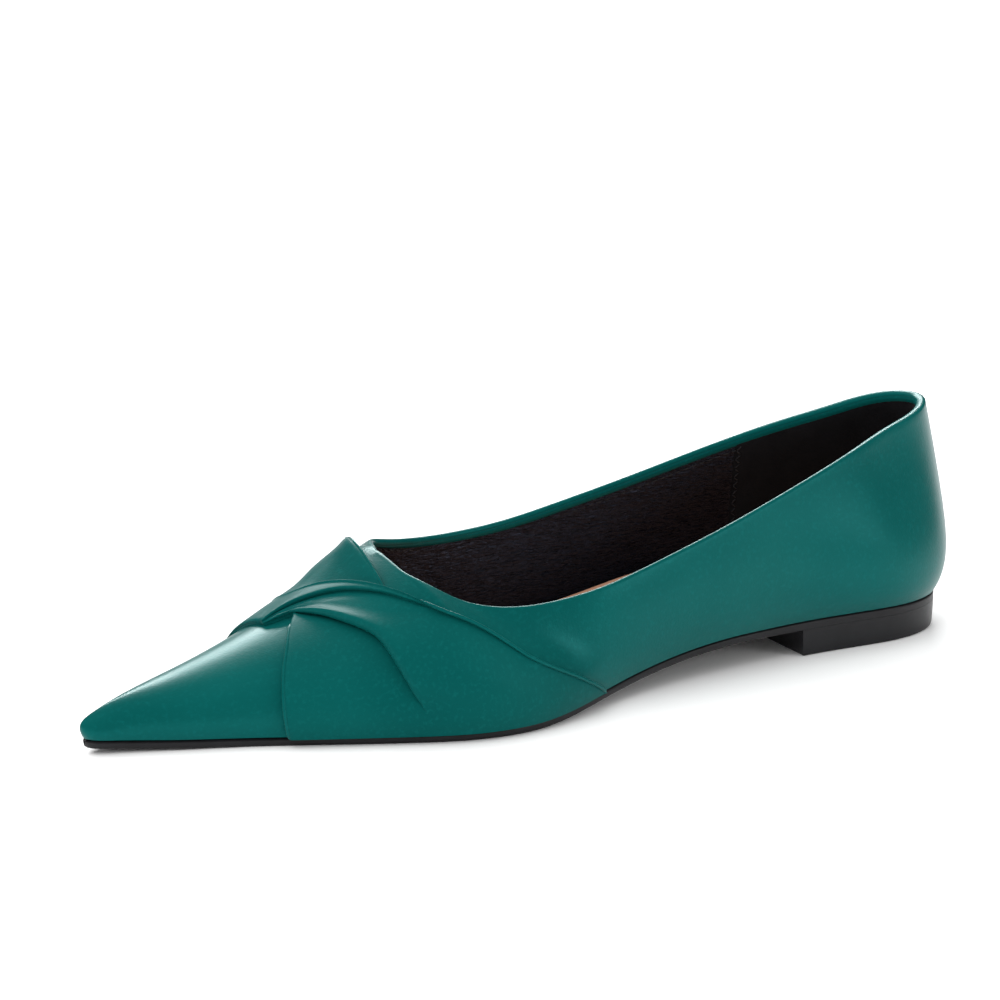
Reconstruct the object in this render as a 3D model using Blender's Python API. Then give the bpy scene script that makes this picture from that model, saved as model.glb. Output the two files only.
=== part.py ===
"""Pointed flat shoe for the left foot, with one twisted band across the vamp.

All lengths are metres. +Z is up, the toe points to -X, the heel to +X, and the shoe's outer
(lateral) side faces -Y. The origin is the middle of the bounding box, on the floor.

The upper follows a last that is worked out here: a closed outline at the sole, a ridge along the
vamp, a topline around the collar, and a cubic profile between outline and ridge or topline at every
station. The other pieces take their places from the same functions.
"""

import math

import bmesh
import bpy
import numpy as np

# Overall sizes.
SOLE_LENGTH = 0.2520
BALL_WIDTH = 0.0755
SEAT_WIDTH = 0.0520
VAMP_HEIGHT = 0.0398
BACK_HEIGHT = 0.0600

# Sole, heel and insole.
SOLE_THICKNESS = 0.0022
SOLE_EDGE_INSET = 0.0005
HEEL_HEIGHT = 0.0076
HEEL_LENGTH = 0.0520
HEEL_TAPER = 0.0006
HEEL_BEVEL = 0.0005
TOE_SPRING = 0.0017
TOE_SPRING_LENGTH = 0.0500
ARCH_START = 0.1030
ARCH_LENGTH = 0.0780
INSOLE_THICKNESS = 0.0030
INSOLE_TOE_CLEARANCE = 0.0120

# Upper wall and the band over it.
WALL = 0.0018
COUNTER_WALL = 0.0027
COLLAR_ROLL = 0.0007
TOE_HOLLOW_NOSE = 0.0020
BAND_THICKNESS = 0.0016
BAND_EDGE_ROUND = 0.0006

# Clearance between pieces that touch.
GAP = 0.0003

# Stations of the throat, of the start and end of the stiff counter's thickening, and of the first
# full section of the hollow behind the toe, as shares of each half of the outline.
THROAT = 0.33
COUNTER_START = 0.78
COUNTER_END = 0.94
TOE_HOLLOW_START = 0.035

# Sole outline from tip to back. Along is a share of SOLE_LENGTH; the two sides are shares of the
# width there, which changes from BALL_WIDTH to SEAT_WIDTH in the waist.
# station, along, lateral, medial
OUTLINE = (
    (0.000, 0.0010, 0.000, 0.000),
    (0.012, 0.0060, 0.029, 0.029),
    (0.035, 0.0260, 0.058, 0.056),
    (0.090, 0.0830, 0.131, 0.118),
    (0.160, 0.1550, 0.224, 0.201),
    (0.230, 0.2300, 0.347, 0.305),
    (0.300, 0.3020, 0.464, 0.397),
    (0.360, 0.3610, 0.540, 0.440),
    (0.420, 0.4210, 0.560, 0.424),
    (0.480, 0.4760, 0.529, 0.374),
    (0.550, 0.5440, 0.496, 0.332),
    (0.620, 0.6190, 0.510, 0.349),
    (0.700, 0.7060, 0.523, 0.412),
    (0.780, 0.7940, 0.492, 0.462),
    (0.850, 0.8730, 0.504, 0.504),
    (0.900, 0.9275, 0.498, 0.510),
    (0.940, 0.9695, 0.412, 0.420),
    (0.970, 0.9912, 0.260, 0.272),
    (1.000, 1.0000, -0.012, 0.012),
)

# Ridge of the vamp from the tip to the throat, and on up the instep of the last, where it only
# steers the walls. Along is a share of SOLE_LENGTH, side of BALL_WIDTH toward the medial side,
# height of VAMP_HEIGHT above the floor.
# station, along, side, height
RIDGE = (
    (0.000, 0.0135, 0.005, 0.266),
    (0.035, 0.0360, 0.008, 0.317),
    (0.090, 0.0890, 0.013, 0.400),
    (0.160, 0.1590, 0.021, 0.513),
    (0.230, 0.2320, 0.030, 0.658),
    (0.290, 0.2980, 0.040, 0.839),
    (0.330, 0.3385, 0.048, 1.000),
    (0.380, 0.3720, 0.052, 1.090),
    (0.440, 0.4000, 0.050, 1.130),
    (0.500, 0.4300, 0.045, 1.150),
    (0.560, 0.4600, 0.040, 1.160),
)

# Where the collar is cut through the last, from the throat to where the walls end at the topline.
# Around is 0 at the throat and 1 at the back; station and share are places on the last.
# around, lateral station, share, medial station, share
COLLAR_CUT = (
    (0.00, 0.330, 1.000, 0.330, 1.000),
    (0.04, 0.331, 0.850, 0.335, 0.900),
    (0.08, 0.338, 0.730, 0.350, 0.800),
    (0.13, 0.364, 0.640, 0.380, 0.740),
    (0.18, 0.410, 0.710, 0.425, 0.850),
    (0.24, 0.491, 1.000, 0.491, 1.000),
)
JOIN = 0.49

# Topline from the throat to the back, one set of columns for each side. Along is a share of
# SOLE_LENGTH, side of the width there, height of a height that changes from VAMP_HEIGHT to
# BACK_HEIGHT over the front half.
# station, lateral along, side, height, medial along, side, height
TOPLINE = (
    (0.00, 0.3385, -0.048, 1.000, 0.3385, 0.048, 1.000),
    (0.05, 0.3415, 0.064, 0.936, 0.3460, 0.132, 0.928),
    (0.11, 0.3550, 0.185, 0.827, 0.3670, 0.204, 0.868),
    (0.18, 0.3795, 0.330, 0.700, 0.4030, 0.285, 0.777),
    (0.26, 0.4295, 0.370, 0.573, 0.4485, 0.332, 0.668),
    (0.36, 0.5040, 0.426, 0.536, 0.5160, 0.364, 0.597),
    (0.48, 0.5950, 0.492, 0.578, 0.6030, 0.431, 0.611),
    (0.60, 0.6905, 0.530, 0.680, 0.6945, 0.474, 0.687),
    (0.72, 0.7900, 0.462, 0.800, 0.7900, 0.448, 0.777),
    (0.83, 0.8770, 0.373, 0.903, 0.8770, 0.375, 0.867),
    (0.90, 0.9305, 0.281, 0.953, 0.9305, 0.281, 0.933),
    (0.96, 0.9835, 0.166, 0.988, 0.9835, 0.176, 0.988),
    (1.00, 1.0045, -0.012, 1.000, 1.0045, 0.012, 1.000),
)

# Swell of the profile at each station. The wall leaves the sole at the angle lean above level and
# reaches its top falling at the angle drop; low and high are the two handles as shares of the
# profile's chord.
# station, low, lean, high, drop
SWELL = (
    (0.000, 0.50, 60, 0.620, 0),
    (0.035, 0.42, 76, 0.560, 0),
    (0.090, 0.40, 76, 0.500, 0),
    (0.160, 0.40, 76, 0.480, 0),
    (0.230, 0.40, 78, 0.460, 0),
    (0.330, 0.36, 80, 0.390, 0),
    (0.380, 0.35, 80, 0.390, 6),
    (0.440, 0.34, 80, 0.360, 30),
    (0.520, 0.34, 78, 0.330, 58),
    (0.620, 0.34, 72, 0.320, 72),
    (0.740, 0.34, 64, 0.340, 78),
    (0.860, 0.33, 57, 0.380, 79),
    (0.940, 0.31, 57, 0.430, 78),
    (1.000, 0.30, 53, 0.430, 78),
)

# Edges of the twisted band, from the lateral sole edge over the ridge to the medial sole edge.
# Station is the last's own; across is -1 at the lateral sole edge, 0 on the ridge or topline and
# 1 at the medial sole edge.
# row, front station, front across, rear station, rear across
BAND_EDGES = (
    (0.00, 0.190, -0.980, 0.530, -0.980),
    (0.12, 0.191, -0.790, 0.503, -0.790),
    (0.25, 0.195, -0.580, 0.478, -0.630),
    (0.36, 0.208, -0.380, 0.442, -0.545),
    (0.44, 0.224, -0.220, 0.395, -0.545),
    (0.50, 0.238, -0.110, 0.355, -0.485),
    (0.55, 0.216, -0.040, 0.328, -0.385),
    (0.60, 0.196, -0.010, 0.312, -0.270),
    (0.65, 0.183, 0.030, 0.310, -0.140),
    (0.70, 0.179, 0.090, 0.312, 0.000),
    (0.76, 0.180, 0.190, 0.317, 0.110),
    (0.83, 0.187, 0.350, 0.334, 0.270),
    (0.89, 0.192, 0.540, 0.385, 0.420),
    (0.95, 0.194, 0.770, 0.455, 0.610),
    (1.00, 0.195, 0.980, 0.510, 0.980),
)

# Height of the band over the upper along the same rows, as shares of BAND_THICKNESS. Lip is where
# one fold lies over the next, as a share of the width from the front edge.
# row, front, lip, before lip, after lip, rear
BAND_FOLDS = (
    (0.00, 0.90, 0.37, 0.90, 0.90, 0.90),
    (0.12, 1.05, 0.36, 1.00, 1.20, 1.00),
    (0.25, 1.10, 0.37, 1.00, 1.80, 1.10),
    (0.36, 1.10, 0.33, 1.00, 2.20, 1.25),
    (0.44, 1.10, 0.25, 1.00, 2.30, 1.40),
    (0.50, 1.20, 0.16, 1.40, 2.30, 1.60),
    (0.55, 1.30, 0.45, 2.10, 2.20, 1.80),
    (0.60, 1.20, 0.78, 2.20, 1.80, 2.20),
    (0.65, 1.10, 0.76, 2.10, 1.60, 2.80),
    (0.70, 1.00, 0.68, 1.90, 1.50, 2.90),
    (0.76, 0.95, 0.58, 1.60, 1.20, 2.30),
    (0.83, 0.90, 0.50, 1.40, 1.05, 1.60),
    (0.89, 0.95, 0.44, 1.30, 1.00, 1.20),
    (0.95, 1.00, 0.40, 1.10, 1.00, 1.05),
    (1.00, 0.90, 0.37, 0.90, 0.90, 0.90),
)
LIP_SPREAD = 0.035

# Rows along the band: from row, to row, number of steps.
BAND_STEPS = (
    (0.00, 0.50, 14),
    (0.50, 0.76, 8),
    (0.76, 1.00, 15),
)

# Steps along half of the outline: from station, to station, number of steps.
HALF_STEPS = (
    (0.00, 0.03, 4),
    (0.03, 0.12, 5),
    (0.12, 0.30, 9),
    (0.30, THROAT, 2),
    (THROAT, 0.38, 4),
    (0.38, 0.88, 16),
    (0.88, 1.00, 8),
)
SOLE_ENDS = (0.003, 0.9985)
OUTER_ROWS = 14
INNER_ROWS = 9


def ease(value):
    """Smooth step from 0 to 1, level at both ends."""
    value = np.clip(value, 0.0, 1.0)
    return value * value * (3.0 - 2.0 * value)


def mix(first, second, share):
    return first + (second - first) * share


def unit(vectors):
    return vectors / np.linalg.norm(vectors, axis=1)[:, None]


def smooth_curve(rows, closed=False):
    """Cubic spline through rows of (parameter, values...), with level curvature at open ends."""
    rows = np.asarray(rows, float)
    knots = rows[:, 0]
    values = rows[:, 1:]
    count = len(knots)
    step = np.diff(knots)
    matrix = np.zeros((count, count))
    right = np.zeros((count, values.shape[1]))
    for i in range(1, count - 1):
        matrix[i, i - 1] = step[i - 1]
        matrix[i, i] = 2.0 * (step[i - 1] + step[i])
        matrix[i, i + 1] = step[i]
        slopes = (values[i + 1] - values[i]) / step[i] - (values[i] - values[i - 1]) / step[i - 1]
        right[i] = 3.0 * slopes
    if closed:
        matrix[0, 0] = 2.0 * step[0]
        matrix[0, 1] = step[0]
        matrix[0, count - 2] = step[-1]
        matrix[0, count - 1] = 2.0 * step[-1]
        slopes = (values[1] - values[0]) / step[0] - (values[-1] - values[-2]) / step[-1]
        right[0] = 3.0 * slopes
        matrix[-1, 0] = 1.0
        matrix[-1, -1] = -1.0
    else:
        matrix[0, 0] = 1.0
        matrix[-1, -1] = 1.0
    bend = np.linalg.solve(matrix, right)

    def read(places):
        places = np.atleast_1d(np.asarray(places, float))
        i = np.clip(np.searchsorted(knots, places) - 1, 0, count - 2)
        ahead = (places - knots[i])[:, None]
        width = step[i][:, None]
        slope = (values[i + 1] - values[i]) / width - width * (2.0 * bend[i] + bend[i + 1]) / 3.0
        third = (bend[i + 1] - bend[i]) / (3.0 * width)
        return values[i] + slope * ahead + bend[i] * ahead ** 2 + third * ahead ** 3

    return read


def width_at(along):
    """Width that side shares follow, from the ball to the heel seat."""
    return mix(BALL_WIDTH, SEAT_WIDTH, ease((along - 0.45) / 0.25))


def height_at(station):
    """Height that topline shares follow, from the throat to the back."""
    return mix(VAMP_HEIGHT, BACK_HEIGHT, ease(station / 0.5))


def wall_at(station):
    """Thickness of the upper's wall, thicker at the back where the counter is."""
    share = (np.abs(station) - COUNTER_START) / (COUNTER_END - COUNTER_START)
    return mix(WALL, COUNTER_WALL, ease(share))


def sole_rise(x):
    """Underside of the outsole above the floor: flat under the ball, up at the toe and arch."""
    toe = TOE_SPRING * np.clip(1.0 - x / TOE_SPRING_LENGTH, 0.0, None) ** 2
    return toe + HEEL_HEIGHT * ease((x - ARCH_START) / ARCH_LENGTH)


def outline_rows():
    lateral = []
    medial = []
    for station, along, outer, inner in OUTLINE:
        width = width_at(along)
        lateral.append((-station, along * SOLE_LENGTH, -outer * width))
        medial.append((station, along * SOLE_LENGTH, inner * width))
    return lateral[::-1] + medial[1:]


def topline_rows():
    lateral = []
    medial = []
    for row in TOPLINE:
        station = row[0]
        height = height_at(station)
        lateral.append((-station, row[1] * SOLE_LENGTH, -row[2] * width_at(row[1]), row[3] * height))
        medial.append((station, row[4] * SOLE_LENGTH, row[5] * width_at(row[4]), row[6] * height))
    return lateral[::-1] + medial[1:]


def ridge_rows():
    rows = []
    for station, along, side, height in RIDGE:
        rows.append((station, along * SOLE_LENGTH, side * BALL_WIDTH, height * VAMP_HEIGHT))
    return rows


outline = smooth_curve(outline_rows(), closed=True)
topline = smooth_curve(topline_rows(), closed=True)
ridge = smooth_curve(ridge_rows())
swell = smooth_curve(SWELL)
collar_cut = smooth_curve(COLLAR_CUT)


def outline_normal(s):
    """Level unit vector out of the outline at signed station s."""
    step = 0.001
    along = outline(np.clip(s + step, -1.0, 1.0)) - outline(np.clip(s - step, -1.0, 1.0))
    level = np.column_stack((-along[:, 1], along[:, 0], np.zeros(len(s))))
    return unit(level)


def seat_height(x):
    """Height where the upper and the insole start, one gap above the outsole."""
    return sole_rise(x) + SOLE_THICKNESS + GAP


def last(s, v):
    """Face of the last at signed station s and height share v from the sole to the top."""
    s = np.atleast_1d(np.asarray(s, float))
    v = np.atleast_1d(np.asarray(v, float))
    side = np.where(s < 0.0, -1.0, 1.0)
    station = np.abs(s)
    foot = outline(s)
    foot = np.column_stack((foot, seat_height(foot[:, 0])))
    out = outline_normal(s)
    up = np.array((0.0, 0.0, 1.0))
    around = side * np.clip((station - THROAT) / (1.0 - THROAT), 0.0, 1.0)
    collar = topline(around) + out * 0.5 * wall_at(station)[:, None] - up * 0.33 * WALL
    leave = ease((station - THROAT) / (JOIN - THROAT))[:, None]
    top = mix(ridge(np.minimum(station, JOIN)), collar, leave)
    low, lean, high, drop = swell(station).T
    lean = np.radians(lean)[:, None]
    drop = np.radians(drop)[:, None]
    chord = np.linalg.norm(top - foot, axis=1)[:, None]
    step = 0.001
    on_ridge = np.minimum(station, THROAT)
    forward = unit(ridge(on_ridge + step) - ridge(np.maximum(on_ridge - step, 0.0)))
    level = np.column_stack((np.zeros(len(s)), side, np.zeros(len(s))))
    fan = ease(station / 0.12)[:, None] * math.pi / 2.0
    over_vamp = -np.cos(fan) * forward + np.sin(fan) * level
    outward = unit(mix(over_vamp, out, leave))
    fall = outward * np.cos(drop) - up * np.sin(drop)
    start = foot + low[:, None] * chord * (out * np.cos(lean) + up * np.sin(lean))
    end = top + high[:, None] * chord * fall
    v = v[:, None]
    lower = foot * (1.0 - v) ** 3 + 3.0 * start * v * (1.0 - v) ** 2
    return lower + 3.0 * end * v * v * (1.0 - v) + top * v ** 3


def wall_place(s, v):
    """Place on the last for the upper's own grid, whose lines end at the ridge or the collar."""
    s = np.atleast_1d(np.asarray(s, float))
    v = np.atleast_1d(np.asarray(v, float))
    side = np.where(s < 0.0, -1.0, 1.0)
    station = np.abs(s)
    around = np.clip((station - THROAT) / (1.0 - THROAT), 0.0, 1.0)
    cut = collar_cut(np.minimum(around, COLLAR_CUT[-1][0]))
    target = np.where(side < 0.0, cut[:, 0], cut[:, 2])
    share = np.where(side < 0.0, cut[:, 1], cut[:, 3])
    in_cut = (station > THROAT) & (around < COLLAR_CUT[-1][0])
    target = np.where(in_cut, target, station)
    share = np.where(in_cut, share, 1.0)
    return side * mix(station, target, v), share * v


def last_normal(s, v):
    """Unit vector out of the last's face."""
    s = np.atleast_1d(np.asarray(s, float))
    v = np.clip(np.atleast_1d(np.asarray(v, float)), 0.0, 0.985)
    ahead = last(np.minimum(s + 0.0015, 1.0), v)
    behind = last(np.maximum(s - 0.0015, -1.0), v)
    above = last(s, np.minimum(v + 0.01, 1.0))
    below = last(s, np.maximum(v - 0.01, 0.0))
    return unit(np.cross(above - below, ahead - behind))


def stepped(table):
    """Places along a table of (from, to, number of steps)."""
    places = [table[0][0]]
    for first, final, steps in table:
        for i in range(1, steps + 1):
            places.append(mix(first, final, i / steps))
    return places


def half_stations():
    return stepped(HALF_STEPS)


def solid(name, points, faces, collection, colour, roughness, metallic=0.0, smooth=True):
    """Closed mesh object from points and faces, with its own material."""
    work = bmesh.new()
    verts = [work.verts.new(point) for point in points]
    for face in faces:
        corners = []
        for index in face:
            if verts[index] not in corners:
                corners.append(verts[index])
        if len(corners) > 2:
            work.faces.new(corners)
    bmesh.ops.remove_doubles(work, verts=work.verts, dist=0.00001)
    bmesh.ops.dissolve_degenerate(work, edges=work.edges, dist=0.00001)
    bmesh.ops.recalc_face_normals(work, faces=work.faces)
    bmesh.ops.triangulate(work, faces=work.faces)
    mesh = bpy.data.meshes.new(name)
    work.to_mesh(mesh)
    work.free()
    if smooth:
        mesh.shade_smooth()
        mesh.set_sharp_from_angle(angle=math.radians(40.0))
    item = bpy.data.objects.new(name, mesh)
    collection.objects.link(item)
    dress(item, colour, roughness, metallic)
    return item


def dress(item, colour, roughness, metallic):
    material = bpy.data.materials.new(item.name)
    material.use_nodes = True
    shader = material.node_tree.nodes["Principled BSDF"]
    shader.inputs["Base Color"].default_value = (*colour, 1.0)
    shader.inputs["Roughness"].default_value = roughness
    shader.inputs["Metallic"].default_value = metallic
    item.data.materials.append(material)


def upper_sections():
    """Closed ring of points for each station, from the inner foot over the rim to the outer foot."""
    half = half_stations()
    stations = [-place for place in half[:0:-1]] + half[:-1]
    inner_v = np.linspace(0.0, 1.0, INNER_ROWS + 1)
    outer_v = np.linspace(1.0, 0.0, OUTER_ROWS + 1)
    throat_out = unit(ridge([THROAT]) - ridge([THROAT - 0.002]))[0]
    sections = []
    for station in stations:
        outer = last(*wall_place(np.full(len(outer_v), station), outer_v))
        inside = inner_face(station, inner_v)
        rim = None
        if abs(station) >= THROAT - 0.000001:
            rise = last(*wall_place([station], [1.0]))[0] - last(*wall_place([station], [0.97]))[0]
            rise = rise / np.linalg.norm(rise)
            share = float(ease((abs(station) - THROAT) / 0.05))
            rise = mix(throat_out, rise, share)
            rise = rise / np.linalg.norm(rise)
            middle = (outer[0] + inside[-1]) / 2.0
            rim = (
                mix(inside[-1], middle, 0.35) + rise * COLLAR_ROLL * 0.75,
                middle + rise * COLLAR_ROLL,
                mix(outer[0], middle, 0.35) + rise * COLLAR_ROLL * 0.75,
            )
        sections.append((station, inside, rim, outer))
    return sections


def inner_face(station, v):
    """Inner face of the wall; ahead of its first full section the hollow closes with a round end."""
    if abs(station) >= TOE_HOLLOW_START:
        return wall_inside(station, v)
    left = wall_inside(-TOE_HOLLOW_START, v)
    right = wall_inside(TOE_HOLLOW_START, v)
    turn = station / TOE_HOLLOW_START * math.pi / 2.0
    middle = (left + right) / 2.0
    reach = (right - left) / 2.0
    nose = np.array((-TOE_HOLLOW_NOSE, 0.0, 0.0))
    return middle + reach * math.sin(turn) + nose * math.cos(turn)


def wall_inside(station, v):
    places = wall_place(np.full(len(v), station), v)
    thickness = wall_at(station)
    face = last(*places) - thickness * last_normal(*places)
    if abs(station) <= THROAT:
        mirror = last(-places[0], v) - thickness * last_normal(-places[0], v)
        face[-1] = (face[-1] + mirror[-1]) / 2.0
    face[0, 2] = seat_height(face[0, 0])
    return face


def build_upper(collection):
    sections = upper_sections()
    points = []
    faces = []
    inner_count = INNER_ROWS + 1
    outer_count = OUTER_ROWS + 1
    size = inner_count + 3 + outer_count
    for station, inside, rim, outer in sections:
        points.extend(inside)
        if rim is None:
            points.extend([inside[-1]] * 3)
        else:
            points.extend(rim)
        points.extend(outer)
    count = len(sections)
    for i in range(count):
        after = (i + 1) % count
        here = sections[i]
        there = sections[after]
        has_rim = here[2] is not None and there[2] is not None
        for j in range(size):
            follow = (j + 1) % size
            in_rim = inner_count - 1 <= j < inner_count + 3
            if in_rim and not has_rim:
                continue
            a = i * size + j
            b = i * size + follow
            c = after * size + follow
            d = after * size + j
            faces.append((a, b, c, d))
    return solid("upper", points, faces, collection, (0.008, 0.135, 0.112), 0.38)


def sole_section(station, inset, lift, steps, lower_inset):
    """Ring across the sole at one station: bottom left to right, then top right to left."""
    ends = np.array((-station, station))
    out = outline_normal(ends)[:, :2]
    edge = outline(ends)
    top = edge - out * inset
    low = edge - out * (inset + lower_inset)
    ring = []
    for i in range(steps + 1):
        spot = mix(low[0], low[1], i / steps)
        ring.append((spot[0], spot[1], sole_rise(spot[0]) + lift[0]))
    for spot in (mix(low[1], top[1], 0.75), top[1]):
        depth = mix(lift[0], lift[1], 0.25 if spot is not top[1] else 0.5)
        ring.append((spot[0], spot[1], sole_rise(spot[0]) + depth))
    for i in range(steps, -1, -1):
        spot = mix(top[0], top[1], i / steps)
        ring.append((spot[0], spot[1], sole_rise(spot[0]) + lift[1]))
    for spot in (top[0], mix(low[0], top[0], 0.75)):
        depth = mix(lift[0], lift[1], 0.5 if spot is top[0] else 0.25)
        ring.append((spot[0], spot[1], sole_rise(spot[0]) + depth))
    return ring


def loft(rings):
    """Points and faces of a closed loft whose end rings are flat caps or a single line."""
    size = len(rings[0])
    points = []
    faces = []
    for ring in rings:
        points.extend(ring)
    for i in range(len(rings) - 1):
        for j in range(size):
            follow = (j + 1) % size
            a = i * size + j
            b = i * size + follow
            faces.append((a, b, b + size, a + size))
    return points, faces


def sole_stations(first, final):
    """Stations of the sole's sections, from the first to the final one."""
    return [first] + [place for place in half_stations() if first < place < final] + [final]


def build_outsole(collection):
    stations = sole_stations(*SOLE_ENDS)
    rings = [sole_section(s, 0.0, (0.0, SOLE_THICKNESS), 8, SOLE_EDGE_INSET) for s in stations]
    points, faces = loft(rings)
    points, faces = close_ends(points, faces, rings)
    return solid("outsole", points, faces, collection, (0.012, 0.012, 0.013), 0.45)


def close_ends(points, faces, rings):
    size = len(rings[0])
    last_start = (len(rings) - 1) * size
    faces.append(tuple(range(size)))
    faces.append(tuple(range(last_start + size - 1, last_start - 1, -1)))
    return points, faces


def build_insole(collection):
    under = SOLE_THICKNESS + GAP
    lift = (under, under + INSOLE_THICKNESS)
    rings = []
    for station in sole_stations(TOE_HOLLOW_START, SOLE_ENDS[1]):
        if outline([station])[0, 0] < INSOLE_TOE_CLEARANCE:
            continue
        rings.append(sole_section(station, wall_at(station) + GAP * 1.5, lift, 6, 0.0))
    points, faces = loft(rings)
    points, faces = close_ends(points, faces, rings)
    return solid("insole", points, faces, collection, (0.62, 0.33, 0.22), 0.6)


def heel_outline():
    """Outline of the heel seat behind the straight breast."""
    breast = SOLE_LENGTH - HEEL_LENGTH
    points = []
    fine = np.linspace(-1.0, 1.0, 801)
    track = outline(fine)
    behind = [k for k in range(len(fine)) if track[k, 0] > breast]
    medial = [k for k in behind if fine[k] > 0.0]
    lateral = [k for k in behind if fine[k] < 0.0]
    for group in (medial, lateral):
        spots = track[group]
        length = np.concatenate(((0.0,), np.cumsum(np.linalg.norm(np.diff(spots, axis=0), axis=1))))
        for share in np.linspace(0.0, 1.0, 16)[:-1] if group is medial else np.linspace(0.0, 1.0, 16):
            place = share * length[-1]
            points.append((np.interp(place, length, spots[:, 0]), np.interp(place, length, spots[:, 1])))
    return points


def build_heel(collection):
    work = bmesh.new()
    top = HEEL_HEIGHT - GAP
    spots = heel_outline()
    middle = SOLE_LENGTH - HEEL_LENGTH / 2.0
    verts = [work.verts.new((x, y, top)) for x, y in spots]
    face = work.faces.new(verts)
    grown = bmesh.ops.extrude_face_region(work, geom=[face])
    for item in grown["geom"]:
        if isinstance(item, bmesh.types.BMVert):
            item.co.z = 0.0
            item.co.x = middle + (item.co.x - middle) * (1.0 - 2.0 * HEEL_TAPER / HEEL_LENGTH)
            item.co.y = item.co.y * (1.0 - 2.0 * HEEL_TAPER / SEAT_WIDTH)
    bmesh.ops.recalc_face_normals(work, faces=work.faces)
    rim = [edge for edge in work.edges if all(vert.co.z < 0.00001 for vert in edge.verts)]
    bmesh.ops.bevel(work, geom=rim, offset=HEEL_BEVEL, segments=2, profile=0.5, affect="EDGES")
    mesh = bpy.data.meshes.new("heel_block")
    work.to_mesh(mesh)
    work.free()
    mesh.shade_smooth()
    mesh.set_sharp_from_angle(angle=math.radians(30.0))
    item = bpy.data.objects.new("heel_block", mesh)
    collection.objects.link(item)
    dress(item, (0.011, 0.011, 0.012), 0.4, 0.0)
    return item


band_edges = smooth_curve(BAND_EDGES)
band_folds = smooth_curve(BAND_FOLDS)


def band_height(row, share):
    """Height of the band over the upper at one row and one share of its width."""
    front, lip, before, after, rear = band_folds([row])[0]
    under = mix(front, before, min(share / lip, 1.0))
    over = mix(after, rear, max((share - lip) / (1.0 - lip), 0.0))
    step = ease((share - lip + LIP_SPREAD) / (2.0 * LIP_SPREAD))
    return float(mix(under, over, step)) * BAND_THICKNESS


def band_point(row, share, height):
    """Point over the upper's outer face."""
    front_station, front_across, rear_station, rear_across = band_edges([row])[0]
    station = mix(front_station, rear_station, share)
    across = mix(front_across, rear_across, share)
    side = -1.0 if across < 0.0 else 1.0
    s = np.array((side * station,))
    v = np.array((1.0 - abs(across),))
    return (last(s, v) + height * last_normal(s, v))[0]


def band_columns():
    """Shares across the band, closer together at its two edges."""
    return (0.0, 0.012, 0.05, 0.11, 0.17, 0.24, 0.31, 0.38, 0.45, 0.52, 0.59, 0.66, 0.73, 0.80, 0.87,
            0.94, 0.985, 1.0)


def build_band(collection):
    shares = band_columns()
    rings = []
    for row in stepped(BAND_STEPS):
        ring = [band_point(row, share, 1.4 * GAP) for share in shares]
        top = []
        for share in shares:
            height = band_height(row, share)
            if share in (shares[0], shares[-1]):
                height = height - BAND_EDGE_ROUND
            top.append(band_point(row, share, height))
        ring.extend(top[::-1])
        rings.append(ring)
    points, faces = loft(rings)
    points, faces = close_ends(points, faces, rings)
    return solid("twist_band", points, faces, collection, (0.008, 0.135, 0.112), 0.36)


def clear_scene():
    for item in list(bpy.data.objects):
        bpy.data.objects.remove(item, do_unlink=True)


def centre_on_floor(items):
    """Move every mesh so that the origin is the middle of the whole, seen from above."""
    low = np.full(3, np.inf)
    high = np.full(3, -np.inf)
    for item in items:
        for vert in item.data.vertices:
            low = np.minimum(low, vert.co)
            high = np.maximum(high, vert.co)
    middle = (low + high) / 2.0
    for item in items:
        for vert in item.data.vertices:
            vert.co.x -= middle[0]
            vert.co.y -= middle[1]


def main():
    clear_scene()
    collection = bpy.data.collections.new("twist_flat_shoe")
    bpy.context.scene.collection.children.link(collection)
    items = [
        build_outsole(collection),
        build_heel(collection),
        build_insole(collection),
        build_upper(collection),
        build_band(collection),
    ]
    centre_on_floor(items)


main()
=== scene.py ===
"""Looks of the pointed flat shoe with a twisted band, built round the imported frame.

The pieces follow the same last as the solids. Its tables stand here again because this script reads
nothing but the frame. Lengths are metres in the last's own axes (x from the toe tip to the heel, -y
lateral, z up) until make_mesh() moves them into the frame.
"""

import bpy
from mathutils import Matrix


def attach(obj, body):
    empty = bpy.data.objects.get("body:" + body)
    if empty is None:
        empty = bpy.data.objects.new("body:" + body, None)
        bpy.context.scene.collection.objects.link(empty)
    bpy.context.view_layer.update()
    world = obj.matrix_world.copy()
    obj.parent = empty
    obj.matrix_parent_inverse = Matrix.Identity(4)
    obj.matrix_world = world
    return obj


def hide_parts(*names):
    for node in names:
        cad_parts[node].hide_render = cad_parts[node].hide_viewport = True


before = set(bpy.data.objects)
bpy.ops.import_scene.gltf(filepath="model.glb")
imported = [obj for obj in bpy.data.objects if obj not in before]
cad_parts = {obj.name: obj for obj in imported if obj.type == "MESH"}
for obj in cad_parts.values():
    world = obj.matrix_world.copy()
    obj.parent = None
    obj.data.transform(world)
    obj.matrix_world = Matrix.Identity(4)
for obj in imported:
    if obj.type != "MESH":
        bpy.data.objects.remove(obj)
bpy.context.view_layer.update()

import math

import bmesh
import bpy
import numpy as np
from mathutils import Matrix, Vector

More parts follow.
